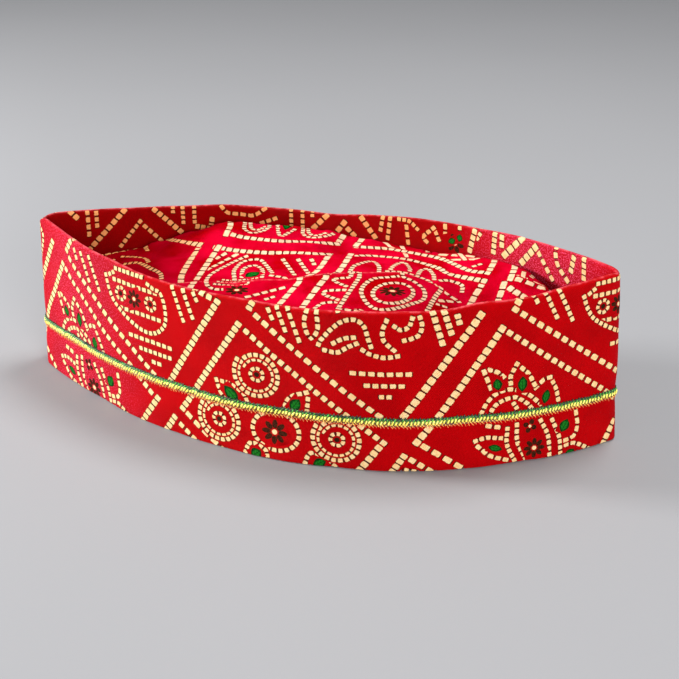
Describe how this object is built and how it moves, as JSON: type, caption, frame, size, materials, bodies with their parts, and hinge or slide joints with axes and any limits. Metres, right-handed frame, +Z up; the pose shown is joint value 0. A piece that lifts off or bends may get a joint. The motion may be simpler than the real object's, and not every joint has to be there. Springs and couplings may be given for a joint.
{
  "type": "topi cap",
  "caption": "Low oval cloth cap with a flat-folding wall, a puffed crown panel sunk inside it and a braid round the outside, worn on the head.",
  "frame": {"origin": "middle of the cap's outline, on the surface that its hem rests on", "axes": "+X along the cap from its left end to its right end, +Y from its front wall to its back wall, +Z up"},
  "size_m": [0.256, 0.1144, 0.0726],
  "materials": {
    "printed_cloth": "woven red cloth with a dashed print in cream, green and brown",
    "crown_cloth": "the same printed cloth, soft and puckered along its seam",
    "braid_yarn": "twisted metallic yarn, yellow with green above and orange below"
  },
  "bodies": {
    "root": {"band": "printed_cloth", "crown": "crown_cloth", "braid": "braid_yarn"}
  },
  "joints": []
}
